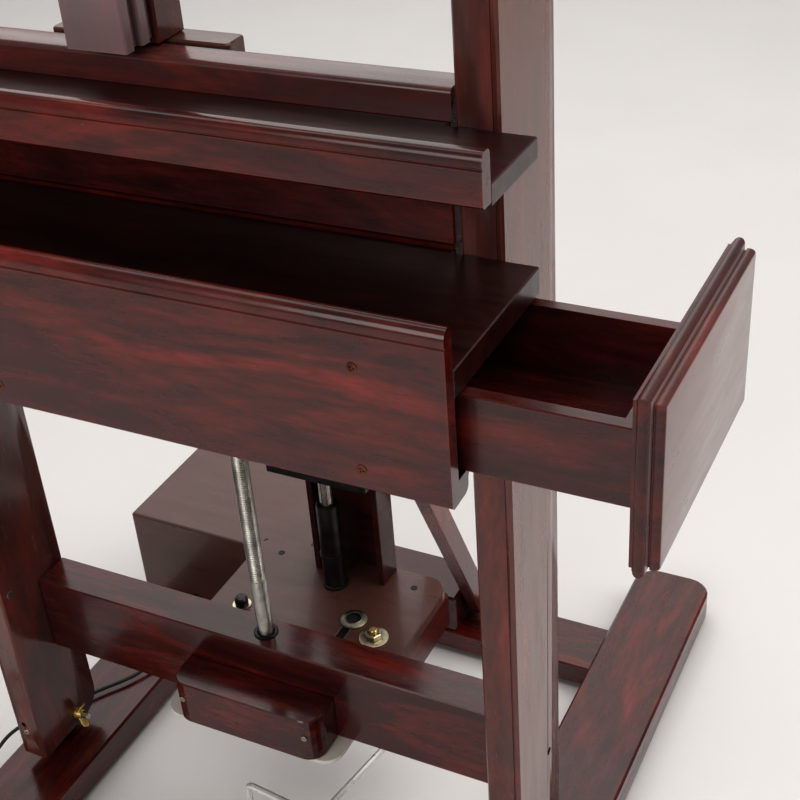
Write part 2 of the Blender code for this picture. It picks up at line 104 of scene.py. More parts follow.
# ------------------------------------------------------------------ materials
class Graph:
    """A short way to write a material's node tree."""

    def __init__(self, name):
        self.material = bpy.data.materials.new(name)
        self.material.use_nodes = True
        self.tree = self.material.node_tree
        self.shader = self.tree.nodes["Principled BSDF"]

    def add(self, kind, inputs=None, **settings):
        node = self.tree.nodes.new(kind)
        for key, value in settings.items():
            setattr(node, key, value)
        for key, value in (inputs or {}).items():
            self.put(node, key, value)
        return node

    def put(self, node, key, value):
        if isinstance(value, bpy.types.NodeSocket):
            self.tree.links.new(value, node.inputs[key])
        else:
            node.inputs[key].default_value = value

    def noise(self, vector, scale, detail=4.0, roughness=0.55, distortion=0.0):
        return self.add("ShaderNodeTexNoise", {
            "Vector": vector, "Scale": scale, "Detail": detail, "Roughness": roughness,
            "Distortion": distortion}).outputs["Fac"]

    def ramp(self, fac, stops):
        node = self.add("ShaderNodeValToRGB", {"Fac": fac})
        elements = node.color_ramp.elements
        while len(elements) < len(stops):
            elements.new(0.5)
        for element, (position, colour) in zip(elements, stops):
            element.position = position
            element.color = (*colour, 1.0)
        return node.outputs["Color"]

    def grey(self, fac, stops):
        return self.ramp(fac, [(p, (v, v, v)) for p, v in stops])

    def mix(self, fac, a, b, mode="MIX"):
        # a colour mix node keeps its factor in socket 0 and its two colours in sockets 6 and 7
        node = self.add("ShaderNodeMix", data_type="RGBA", blend_type=mode)
        for index, value in ((0, fac), (6, a), (7, b)):
            if isinstance(value, bpy.types.NodeSocket):
                self.tree.links.new(value, node.inputs[index])
            else:
                node.inputs[index].default_value = value if index == 0 else (*value, 1.0)
        return node.outputs[2]

    def bump(self, height, strength, distance):
        node = self.add("ShaderNodeBump", {"Height": height, "Strength": strength,
                                           "Distance": distance})
        self.put(self.shader, "Normal", node.outputs["Normal"])

    def finish(self, **values):
        for key, value in values.items():
            self.put(self.shader, key.replace("_", " "), value)
        return self.material


STAIN_DEEP = (0.0180, 0.0032, 0.0026)
STAIN_BROWN = (0.078, 0.0105, 0.0072)
STAIN_WINE = (0.190, 0.0190, 0.0120)
RUBBED_EDGE = (0.170, 0.026, 0.012)
EDGE_RADIUS = 0.0030


def stained_wood(name, stretch, tone=1.0, red=1.0, gloss=0.21, edge=1.0,
                 sheen_and_rub=0.0, sheen_and_rub_colour=(0.17, 0.135, 0.13), side_glare=None):
    """Dark stain with red streaks along the grain, rubbed through to orange on the arrises.

    `sheen_and_rub` mixes in a paler colour everywhere: a painted sheen on the rail and the uprights, dust
    and a painted sheen on the mast, a duller rubbed tone on the plain boards.
    `side_glare` is (low, high, amount): it mixes that colour only on faces that look outward along X and lie
    from `low` to `high` out, a painted reflection of the side lights.
    """
    g = Graph(name)
    place = g.add("ShaderNodeTexCoord").outputs["Object"]
    along = g.add("ShaderNodeMapping", {"Vector": place, "Scale": stretch}).outputs["Vector"]
    figure = g.noise(along, 4.2, 6.0, 0.62, 1.1)
    lines = g.noise(along, 26.0, 5.0, 0.7, 0.2)
    cloud = g.noise(place, 5.5, 3.0)
    deep = [tone * c for c in STAIN_DEEP]
    brown = (STAIN_BROWN[0] * tone * red, STAIN_BROWN[1] * tone, STAIN_BROWN[2] * tone)
    wine = (STAIN_WINE[0] * tone * red, STAIN_WINE[1] * tone, STAIN_WINE[2] * tone)
    colour = g.ramp(figure, [(0.26, deep), (0.50, brown), (0.74, wine)])
    streaks = g.grey(lines, [(0.36, 0.62), (0.66, 1.18)])
    colour = g.mix(1.0, colour, streaks, "MULTIPLY")
    colour = g.mix(g.grey(cloud, [(0.38, 0.0), (0.68, 0.55)]), colour, deep)
    soft = g.add("ShaderNodeBevel", {"Radius": EDGE_RADIUS}, samples=4).outputs["Normal"]
    flat = g.add("ShaderNodeNewGeometry").outputs["Normal"]
    facing = g.add("ShaderNodeVectorMath", operation="DOT_PRODUCT")
    g.put(facing, 0, soft)
    g.put(facing, 1, flat)
    worn = g.grey(facing.outputs["Value"], [(0.86, 0.62 * edge), (0.985, 0.0)])
    patches = g.grey(g.noise(place, 22.0, 4.0), [(0.35, 0.15), (0.62, 1.0)])
    patchy = g.mix(1.0, worn, patches, "MULTIPLY")
    colour = g.mix(patchy, colour, RUBBED_EDGE)
    if side_glare:
        normal = g.add("ShaderNodeTexCoord").outputs["Normal"]
        normal = g.add("ShaderNodeSeparateXYZ", {"Vector": normal})
        across = g.add("ShaderNodeSeparateXYZ", {"Vector": place})
        outward = g.add("ShaderNodeMath", operation="MULTIPLY")
        g.put(outward, 0, normal.outputs["X"])
        g.put(outward, 1, across.outputs["X"])
        low, high, amount = side_glare
        # painted reflection: the paler colour on faces that look outward along X, where the side lights
        # glance off
        side_glare_mask = g.grey(outward.outputs["Value"], [(low, 0.0), (high, amount)])
        colour = g.mix(side_glare_mask, colour, sheen_and_rub_colour)
    # painted sheen everywhere (on the mast also dust, on the plain boards a duller rubbed tone)
    if sheen_and_rub:
        colour = g.mix(sheen_and_rub, colour, sheen_and_rub_colour)
    rough = g.grey(g.noise(along, 11.0, 4.0), [(0.35, gloss - 0.05), (0.7, gloss + 0.09)])
    g.bump(g.noise(along, 40.0, 5.0, 0.7), 0.10, 0.0005)
    return g.finish(Base_Color=colour, Roughness=rough, Coat_Weight=0.20, Coat_Roughness=0.08)


ALONG_X, ALONG_Y, ALONG_Z = (1.1, 6.0, 6.0), (6.0, 1.1, 6.0), (6.0, 6.0, 1.1)
WOOD_X = stained_wood("stained wood, grain across", ALONG_X)
WOOD_PANEL = stained_wood("stained wood, panel", ALONG_X, 1.2, 1.08)
WOOD_Y = stained_wood("stained wood, grain in depth", ALONG_Y, 1.15)
# upright grain: the warm paler colour at 0.13 everywhere is a painted sheen, and at 0.32 on the outward
# faces a painted reflection of the side lights
WOOD_Z = stained_wood("stained wood, upright grain", ALONG_Z, 1.05, 1.1, sheen_and_rub=0.13,
                      sheen_and_rub_colour=(0.29, 0.155, 0.125), side_glare=(0.245, 0.262, 0.32))
# rail: a lighter copy of the stain with a paler colour mixed in, a painted sheen on its top and painted
# light on its front
WOOD_RAIL = stained_wood("stained wood, rail with painted sheen", ALONG_X, 1.25, 1.25, sheen_and_rub=0.15,
                         sheen_and_rub_colour=(0.24, 0.175, 0.165))
# the same stain darkened to 0.6 tone for the shelf, tray board and channel, which stand in shade: painted
# shade
WOOD_SHADED = stained_wood("stained wood, darkened as painted shade", ALONG_X, 0.6, 0.7, gloss=0.34, edge=0.5)
WOOD_PLAIN = stained_wood("stained wood, rubbed plain", ALONG_X, 0.9, 0.8, gloss=0.32, sheen_and_rub=0.80,
                          sheen_and_rub_colour=(0.104, 0.045, 0.034))
WOOD_BOX = stained_wood("stained wood, drawer", ALONG_X, 1.05, 0.95, gloss=0.28, edge=0.9)
# drawer front: the paler colour on the face that looks out along X is a painted reflection of the right-hand
# light
WOOD_FACE = stained_wood("stained wood, drawer front", ALONG_Y, 1.1, gloss=0.32,
                         sheen_and_rub_colour=(0.38, 0.30, 0.29), side_glare=(0.400, 0.425, 0.75))
# mast: grey mixed in at 0.46 for dust and a painted sheen
WOOD_MAST = stained_wood("stained wood, mast", ALONG_Z, 1.1, 1.2, gloss=0.34, edge=2.0, sheen_and_rub=0.46,
                         sheen_and_rub_colour=(0.42, 0.325, 0.335))


def metal(name, low, high, rough, grit=60.0, metallic=1.0, bump=0.05):
    """A mottled metal, and with metallic at 0 a rubber, plastic or painted finish."""
    g = Graph(name)
    place = g.add("ShaderNodeTexCoord").outputs["Object"]
    colour = g.ramp(g.noise(place, grit, 5.0), [(0.35, low), (0.68, high)])
    roughness = g.grey(g.noise(place, grit * 2.3, 4.0), [(0.3, rough - 0.07), (0.7, rough + 0.10)])
    g.bump(g.noise(place, grit * 6, 3.0), bump, 0.0003)
    return g.finish(Base_Color=colour, Roughness=roughness, Metallic=metallic)


ZINC = metal("zinc steel", (0.30, 0.285, 0.25), (0.50, 0.48, 0.44), 0.34)
OLIVE = metal("olive zinc", (0.16, 0.15, 0.11), (0.30, 0.29, 0.24), 0.36)
STEEL_ROD = metal("bright rod", (0.82, 0.81, 0.79), (0.97, 0.96, 0.95), 0.27, 8.0, 0.6, 0.01)
BRIGHT = metal("bright screw", (0.40, 0.36, 0.30), (0.62, 0.58, 0.50), 0.28)
BRONZE = metal("bronzed screw", (0.10, 0.035, 0.02), (0.24, 0.10, 0.06), 0.36)
BRASS = metal("brass", (0.52, 0.36, 0.12), (0.88, 0.68, 0.30), 0.28, 60.0, 0.8)
CREAM = metal("pale zinc yellow", (0.45, 0.40, 0.28), (0.70, 0.64, 0.48), 0.32)
BLACK_STEEL = metal("black steel", (0.010, 0.009, 0.009), (0.030, 0.027, 0.026), 0.34, 40.0, 0.6)
RUBBER = metal("black rubber", (0.010, 0.010, 0.010), (0.022, 0.021, 0.020), 0.58, 90.0, 0.0, 0.08)
PLASTIC = metal("black plastic", (0.010, 0.010, 0.011), (0.020, 0.020, 0.021), 0.36, 120.0, 0.0, 0.04)
PALE = metal("pale sealed board", (0.60, 0.57, 0.50), (0.74, 0.71, 0.64), 0.50, 25.0, 0.0, 0.05)
SHADOW = metal("hole shadow", (0.002, 0.002, 0.002), (0.005, 0.004, 0.004), 0.8, 50.0, 0.0)


# ------------------------------------------------------------------ mesh helpers
def piece(name, mesh, material, body, nodes=(), smooth=32.0):
    """A finished object that rides a body and stands for the CAD nodes in `nodes`."""
    obj = bpy.data.objects.new(name, mesh)
    SCENE.collection.objects.link(obj)
    mesh.materials.clear()
    mesh.materials.append(material)
    if smooth:
        for face in mesh.polygons:
            face.use_smooth = True
        mesh.set_sharp_from_angle(angle=math.radians(smooth))
    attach(obj, body)
    if nodes:
        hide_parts(*nodes)
    return obj


def to_mesh(name, bm):
    """A mesh from a bmesh, with its faces turned outwards."""
    bmesh.ops.recalc_face_normals(bm, faces=bm.faces)
    mesh = bpy.data.meshes.new(name)
    bm.to_mesh(mesh)
    bm.free()
    return mesh


def loft(name, rings, closed=False):
    """Skin a list of rings of points; its ends are capped unless it is closed."""
    bm = bmesh.new()
    rows = [[bm.verts.new(p) for p in ring] for ring in rings]
    pairs = list(zip(rows, rows[1:] + rows[:1])) if closed else list(zip(rows, rows[1:]))
    for a, b in pairs:
        for i in range(len(a)):
            j = (i + 1) % len(a)
            bm.faces.new((a[i], a[j], b[j], b[i]))
    if not closed:
        bm.faces.new(rows[0])
        bm.faces.new(rows[-1])
    return to_mesh(name, bm)


def arc(cy, cz, radius, start, end, steps=8):
    """Points of an arc in the Y-Z plane, angles in degrees from +Y towards +Z."""
    return [(cy + radius * math.cos(math.radians(start + (end - start) * i / steps)),
             cz + radius * math.sin(math.radians(start + (end - start) * i / steps)))
            for i in range(steps + 1)]


def moulding(name, profile, span, material, body, nodes=()):
    """A length of moulding along X from its (y, z) profile."""
    rings = [[at(x, y, z) for y, z in profile] for x in span]
    return piece(name, loft(name, rings), material, body, nodes)


def turned(name, profile, axis, place, material, body, nodes=(), sides=40, closed=False):
    """A piece turned about an axis through `place` from its (radius, height) profile."""
    rings = []
    for radius, height in profile:
        ring = []
        for u, v in circle(max(radius, TINY), sides):
            spot = {"X": (height, u, v), "Y": (v, height, u), "Z": (u, v, height)}[axis]
            ring.append(at(*place) + Vector(spot))
        rings.append(ring)
    return piece(name, loft(name, rings, closed), material, body, nodes)


def plain_box(name, x, y, z, material, body):
    """A small flat bar with softened edges."""
    soft = 0.0003
    rings = []
    for level, inset in ((z[0], soft), (z[0] + soft, 0), (z[1] - soft, 0), (z[1], soft)):
        (x0, x1), (y0, y1) = (x[0] + inset, x[1] - inset), (y[0] + inset, y[1] - inset)
        rings.append([at(u, v, level) for u, v in ((x0, y0), (x1, y0), (x1, y1), (x0, y1))])
    return piece(name, loft(name, rings), material, body, (), 25)


def cutter_box(lo, hi):
    """A block to cut away, between two corners."""
    bm = bmesh.new()
    bmesh.ops.create_cube(bm, size=1.0)
    lo, hi = at(*lo), at(*hi)
    bmesh.ops.scale(bm, vec=hi - lo, verts=bm.verts)
    bmesh.ops.translate(bm, vec=(lo + hi) / 2, verts=bm.verts)
    obj = bpy.data.objects.new("cutter", to_mesh("cutter", bm))
    SCENE.collection.objects.link(obj)
    return obj


def cutter_round(place, axis, radius, depth):
    """A round cutter that goes `depth` either way of `place`."""
    bm = bmesh.new()
    bmesh.ops.create_cone(bm, cap_ends=True, segments=32, radius1=radius, radius2=radius,
                          depth=2 * depth)
    turn = {"X": Matrix.Rotation(math.pi / 2, 3, "Y"), "Y": Matrix.Rotation(math.pi / 2, 3, "X"),
            "Z": Matrix.Identity(3)}[axis]
    bmesh.ops.rotate(bm, matrix=turn, verts=bm.verts)
    bmesh.ops.translate(bm, vec=at(*place), verts=bm.verts)
    obj = bpy.data.objects.new("cutter", to_mesh("cutter", bm))
    SCENE.collection.objects.link(obj)
    return obj


def carve(source, cutters):
    """A copy of a mesh with cutters taken away."""
    obj = bpy.data.objects.new("carve", source.copy())
    SCENE.collection.objects.link(obj)
    for tool in cutters:
        modifier = obj.modifiers.new("cut", "BOOLEAN")
        modifier.operation = "DIFFERENCE"
        modifier.solver = "EXACT"
        modifier.object = tool
    bpy.context.view_layer.update()
    result = obj.evaluated_get(bpy.context.evaluated_depsgraph_get())
    mesh = bpy.data.meshes.new_from_object(result)
    for done in [obj, *cutters]:
        bpy.data.objects.remove(done, do_unlink=True)
    return mesh


# ------------------------------------------------------------------ mains cord
CORD_R = 0.0025
CORD_ROUTE = [
    (-0.2830, 0.3032, 0.0850), (-0.2830, 0.2800, 0.0825), (-0.2850, 0.2300, 0.0650),
    (-0.2940, 0.1880, 0.0575), (-0.3060, 0.1640, 0.0568), (-0.3250, 0.1370, 0.0568),
    (-0.3450, 0.1055, 0.0568), (-0.3650, 0.0720, 0.0572), (-0.3870, 0.0350, 0.0560),
    (-0.3980, 0.0080, 0.0440), (-0.4030, -0.0220, 0.0210), (-0.4040, -0.0520, 0.0060),
    (-0.4025, -0.0850, 0.0028), (-0.4015, -0.1100, 0.0028), (-0.4012, -0.1310, 0.0028),
]
COIL_AT = (-0.465, -0.165)
COIL_STEPS, STEPS_PER_TURN = 79, 24
COIL_OUTER, COIL_INNER, COIL_TOP = 0.0640, 0.0586, 0.0616      # radii of the turns
COIL_LOW, COIL_RISE = 0.0028, 0.0056                           # height of the cord's middle
PLUG_X, PLUG_Y, PLUG_Z = -0.5003, -0.2365, 0.010


def smooth_route(points, steps=5):
    """Catmull-Rom points through a route."""
    ends = [points[0]] + list(points) + [points[-1]]
    path = []
    for i in range(1, len(ends) - 2):
        p0, p1, p2, p3 = (Vector(ends[k]) for k in (i - 1, i, i + 1, i + 2))
        for step in range(steps):
            t = step / steps
            path.append(0.5 * (2 * p1 + (p2 - p0) * t + (2 * p0 - 5 * p1 + 4 * p2 - p3) * t ** 2
                               + (3 * p1 - p0 - 3 * p2 + p3) * t ** 3))
    path.append(Vector(points[-1]))
    return path


def coil_points():
    """Two turns on the floor, the rest on top of them, leaving on the painter's side towards -X."""
    cx, cy = COIL_AT
    points = []
    for step in range(COIL_STEPS):
        turns = step / STEPS_PER_TURN
        if turns <= 2:
            radius = COIL_OUTER - (COIL_OUTER - COIL_INNER) * max(0.0, min(1.0, turns - 0.5))
            height = COIL_LOW
        else:
            rise = min((turns - 2) / 0.4, 1.0)
            rise = rise * rise * (3 - 2 * rise)
            radius = COIL_INNER + (COIL_TOP - COIL_INNER) * rise
            height = COIL_LOW + COIL_RISE * rise
        angle = -2 * math.pi * turns
        points.append(Vector((cx + radius * math.cos(angle), cy + radius * math.sin(angle), height)))
    return points


def squared(value):
    """Push a cosine or sine outwards, so that a circle becomes a rounded square."""
    return math.copysign(abs(value) ** 0.5, value)


def make_cord():
    """The mains cord in one curve from the motor box to its plug, with the plug and the strain relief."""
    start = smooth_route(CORD_ROUTE)
    coil = coil_points()
    tail = [coil[-1], Vector((-0.4825, -0.2315, 0.0092)), Vector((PLUG_X, PLUG_Y, PLUG_Z))]
    tail = smooth_route(tail, 4)
    points = [p + LAYOUT for p in start + coil[1:] + tail[1:]]
    curve = bpy.data.curves.new("mains_cord", "CURVE")
    curve.dimensions = "3D"
    curve.bevel_depth = CORD_R
    curve.bevel_resolution = 4
    curve.use_fill_caps = True
    spline = curve.splines.new("POLY")
    spline.points.add(len(points) - 1)
    for point, spot in zip(spline.points, points):
        point.co = (*spot, 1.0)
    curve.materials.append(RUBBER)
    cord = bpy.data.objects.new("mains_cord", curve)
    SCENE.collection.objects.link(cord)
    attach(cord, "base")
    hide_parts("power_cord", "cord_coil")
    rings = []
    for x, half_y, half_z in ((0.0, 0.006, 0.005), (0.004, 0.009, 0.0075), (0.014, 0.0130, 0.0098),
                              (0.032, 0.0130, 0.0098), (0.036, 0.0120, 0.009), (0.040, 0.0118, 0.0088)):
        rings.append([at(PLUG_X - x, PLUG_Y, PLUG_Z) + Vector((0, half_y * squared(u), half_z * squared(v)))
                      for u, v in circle(1.0, 32)])
    plug = piece("plug_body", loft("plug_body", rings), PLASTIC, "base", ["cord_plug"])
    turned("cord_relief", [(0.0085, 0.0), (0.0085, -0.003), (0.0068, -0.0045), (0.0068, -0.0060),
                           (0.0058, -0.0064), (0.0060, -0.0084), (0.0050, -0.0088), (0.0052, -0.0108),
                           (0.0043, -0.0112), (0.0042, -0.0136)], "Y", (-0.283, 0.3177, 0.085),
           PLASTIC, "base", ["cord_gland"])


make_cord()


# ------------------------------------------------------------------ finishes of the CAD pieces that stay
FINISH = {
    WOOD_X: "lower_crossbar mid_crossbar top_crossbar gear_cover back_board rear_apron box_end"
            " platform_rear_beam brace_block rear_rail",
    WOOD_Y: "runner_left runner_right platform_beam_left platform_beam_right",
    WOOD_PLAIN: "motor_box platform_board mast_foot",
    WOOD_Z: "brace_left brace_right mast_post lift_slider",
    WOOD_SHADED: "lift_channel lower_shelf tray_board",
    WOOD_BOX: "drawer_box canvas_clamp",
    STEEL_ROD: "foot_lever",
    ZINC: "brace_axle brace_pin nut_block actuator_rod",
    BLACK_STEEL: "screw_bushing pivot_bracket_left pivot_bracket_right lever_bracket brace_yoke lift_head",
    PALE: "gear_plate",
    RUBBER: "foot_strip_left foot_strip_right",
}
for finish, names in FINISH.items():
    for node in names.split():
        skin = NODES[node].data
        skin.materials.clear()
        skin.materials.append(finish)


# ------------------------------------------------------------------ mouldings of the tray box
def make_mouldings():
    """The boards with run mouldings, each a (y, z) outline along X."""
    # front panel: a full bead over a fine quirk, a plain face and a softened foot
    front, back, foot = PANEL_FRONT, PANEL_BACK, PANEL_FOOT
    panel = [(back, foot + 0.001), (back - 0.001, foot), (front + 0.0025, foot), (front, foot + 0.0025)]
    panel += [(front, 0.9075), (front + 0.0012, 0.9085), (front + 0.0012, 0.9095), (front, 0.9105)]
    panel += arc(front + 0.0085, 0.9142, 0.0085, 180, 90, 8)
    panel += arc(back - 0.0050, 0.9177, 0.0050, 90, 0, 6)
    panel += [(back, 0.905)]
    moulding("front_panel_board", panel, (-HALF, HALF), WOOD_PANEL, "carriage", ["front_panel"])
    # lip: bead on top with a quirk below it on the front
    front, back, foot = -0.1015, -0.0873, 0.977
    lip = [(back, foot), (front + 0.002, foot), (front, foot + 0.002), (front, 1.0045),
           (front + 0.0013, 1.0055), (front + 0.0013, 1.0062), (front, 1.0072)]
    lip += arc(front + 0.0065, 1.0112, 0.0065, 180, 90, 8)
    lip += [(back - 0.005, 1.0177)]
    lip += arc(back - 0.0048, 1.0129, 0.0048, 90, 0, 6)
    moulding("tray_lip_bead", lip, (-HALF, HALF), WOOD_PANEL, "carriage", ["tray_lip"])
    # rail that the canvas stands on: softened front and back edges, flat on top
    rail = [(0.0400, 0.9907), (0.0060, 0.9907)]
    rail += arc(0.0108, 1.0117, 0.0048, 180, 90, 8)
    rail += arc(0.0362, 1.0127, 0.0038, 90, 0, 6)
    moulding("tray_rail_round", rail, (-0.3017, 0.3017), WOOD_RAIL, "carriage", ["tray_rail"])
    # ogee cleat that carries the drawer behind the panel's foot
    cleat = [(-0.1612, 0.7938), (-0.1612, 0.7750), (-0.1540, 0.7750)]
    cleat += arc(-0.1520, 0.7820, 0.0070, -90, 0, 6)
    cleat += arc(-0.1382, 0.7850, 0.0068, 180, 90, 6)
    cleat += [(-0.1280, 0.7918), (-0.1250, 0.7925), (-0.1250, 0.7938)]
    moulding("drawer_cleat_ogee", cleat, (-0.3535, 0.3722), WOOD_X, "carriage", ["drawer_cleat"])


# ------------------------------------------------------------------ drawer front with its edge mould
def make_drawer_front():
    """Rectangular loops of (x, inset): the half-round, the quirk and the softened edge of the face."""
    x0 = 0.498
    (low_y, high_y), (low_z, high_z) = (-0.165, 0.075), (0.748, 0.895)
    steps = [(0.0, 0.0045), (0.0024, 0.0045), (0.0026, 0.0030)]
    steps += [(0.0076 - 0.0050 * math.cos(a), 0.0046 - 0.0046 * math.sin(a))
              for a in map(math.radians, range(20, 181, 20))]
    steps += [(0.0128, 0.0058), (0.0134, 0.0067), (0.0141, 0.0067), (0.0145, 0.0058), (0.0152, 0.0054),
              (0.0176, 0.0054), (0.0198, 0.0059), (0.0213, 0.0068), (0.0220, 0.0082)]
    rings = []
    for x, inset in steps:
        y0, y1 = low_y + inset, high_y - inset
        z0, z1 = low_z + inset, high_z - inset
        rings.append([at(x0 + x, y, z) for y, z in ((y0, z0), (y1, z0), (y1, z1), (y0, z1))])
    piece("drawer_front_mould", loft("drawer_front_mould", rings), WOOD_FACE, "drawer",
          ["drawer_face"])


# ------------------------------------------------------------------ uprights: quirk bead, sunk bolt holes
def make_uprights():
    """The CAD posts with a quirk down the front, a sunk bolt hole outside and one hole in front."""
    quirk_x, quirk = 0.3382, 0.0009
    for label, side in SIDES:
        edges = sorted((side * quirk_x, side * (quirk_x - quirk)))
        cutters = [
            cutter_box((edges[0], -0.002, 0.0), (edges[1], 0.0014, 2.0)),
            cutter_round((side * UPRIGHT_OUT, 0.080, 0.269), "X", 0.0046, 0.012),
        ]
        if side < 0:
            cutters.append(cutter_round((-0.3305, 0.0, 0.119), "Y", 0.0042, 0.010))
        mesh = carve(NODES["upright_" + label].data, cutters)
        piece("upright_post_" + label, mesh, WOOD_Z, "frame", ["upright_" + label], 25)


# ------------------------------------------------------------------ mast: laminated boards
def make_mast():
    """Two stacked boards whose outer arrises are softened, with a narrower one behind each."""
    wide, narrow, soft = 0.0300, 0.0240, 0.0013
    bottom, top = 1.0245, 2.020
    edge = []
    for y0, y1 in ((-0.0160, -0.0041), (0.0059, 0.0178)):
        edge += [(wide - soft, y0), (wide, y0 + soft), (wide, y1 - soft), (wide - soft, y1),
                 (narrow, y1 + 0.0002), (narrow, 0.0057 if y0 < 0 else 0.0277)]
    outline = edge + [(-x, y) for x, y in reversed(edge)]
    rings = [[at(x, y, z) for x, y in outline] for z in (bottom, top)]
    piece("mast_laminate", loft("mast_laminate", rings), WOOD_MAST, "mast", ["mast_board"], 25)


# ------------------------------------------------------------------ lead screw
def make_lead_screw():
    """A plain journal, then a real single-start thread with flat crests."""
    x, y, low, joint, top = 0.0, 0.087, 0.2083, 0.392, 0.925
    sides, steps_per_turn = 28, 6
    root, depth, flat = 0.0079, 0.0013, 1.35
    rings = []
    for z, radius in ((low, 0.0086), (low + 0.0008, 0.0090), (joint - 0.0006, 0.0090), (joint, 0.0084)):
        rings.append([at(x + u, y + v, z) for u, v in circle(radius, sides)])
    step, start = THREAD_PITCH / steps_per_turn, joint + 0.001
    count = int((top - joint - 0.001) / step)
    for k in range(count + 1):
        z = start + k * step
        ring = []
        for i in range(sides):
            turn = i / sides
            phase = (z / THREAD_PITCH - turn) % 1.0
            crest = 1.0 - abs(2.0 * phase - 1.0)
            radius = root + depth * min(1.0, crest * flat)
            a = 2 * math.pi * turn
            ring.append(at(x + radius * math.cos(a), y + radius * math.sin(a), z))
        rings.append(ring)
    piece("lead_screw_thread", loft("lead_screw_thread", rings), ZINC, "screw",
          ["lead_screw"], 60)


# ------------------------------------------------------------------ screws and bolts
def cross_head(name, place, axis, sign, radius, material, body, flush=0.0006):
    """A countersunk cross-head screw whose face stands `flush` proud of the wood."""
    profile = [(radius * 0.6, -0.0012), (radius, -0.0002), (radius, flush * 0.5), (radius * 0.93, flush),
               (0.0, flush * 1.05)]
    base = loft(name, [[Vector((u, v, h)) for u, v in circle(max(r, TINY), 28)] for r, h in profile])
    tools = []
    for width, length in ((radius * 0.30, radius * 1.25), (radius * 1.25, radius * 0.30)):
        bm = bmesh.new()
        bmesh.ops.create_cube(bm, size=1.0)
        bmesh.ops.scale(bm, vec=(width, length, 0.0020), verts=bm.verts)
        tool = bpy.data.objects.new("cutter", to_mesh("cutter", bm))
        tool.location.z = flush
        SCENE.collection.objects.link(tool)
        tools.append(tool)
    mesh = carve(base, tools)
    tilt = {"X": Matrix.Rotation(sign * math.pi / 2, 4, "Y"),
            "Y": Matrix.Rotation(-sign * math.pi / 2, 4, "X"),
            "Z": Matrix.Identity(4)}[axis]
    twist = Matrix.Rotation(0.6 + 7.0 * place[0], 4, "Z")
    mesh.transform(Matrix.Translation(at(*place)) @ tilt @ twist)
    return piece(name, mesh, material, body, (), 25)


SCREWS = [
    ("panel_screw_upper_right", (0.301, PANEL_FRONT, 0.881), "Y", -1, 0.0042, BRONZE, "carriage"),
    ("panel_screw_lower_right", (0.301, PANEL_FRONT, 0.794), "Y", -1, 0.0042, BRONZE, "carriage"),
    ("panel_screw_upper_left", (-0.301, PANEL_FRONT, 0.881), "Y", -1, 0.0042, BRONZE, "carriage"),
    ("panel_screw_lower_left", (-0.301, PANEL_FRONT, 0.794), "Y", -1, 0.0042, BRONZE, "carriage"),
    ("panel_screw_lower_middle", (-0.034, PANEL_FRONT, 0.794), "Y", -1, 0.0042, BRONZE, "carriage"),
    ("gear_cover_screw_left", (-0.080, 0.0165, 0.243), "Y", -1, 0.0036, BRIGHT, "frame"),
    ("gear_cover_screw_right", (0.080, 0.0165, 0.243), "Y", -1, 0.0036, BRIGHT, "frame"),
    ("platform_screw_left", (-0.094, 0.2725, 0.260), "Z", 1, 0.0042, BLACK_STEEL, "frame"),
    ("platform_screw_right", (0.094, 0.2725, 0.260), "Z", 1, 0.0042, BLACK_STEEL, "frame"),
    ("upright_front_screw", (-0.329, 0.0, 0.107), "Y", -1, 0.0038, BRIGHT, "frame"),
    ("motor_box_screw_front", (-0.160, 0.335, 0.214), "Z", 1, 0.0036, BLACK_STEEL, "base"),
    ("motor_box_screw_rear", (-0.160, 0.480, 0.214), "Z", 1, 0.0036, BLACK_STEEL, "base"),
]


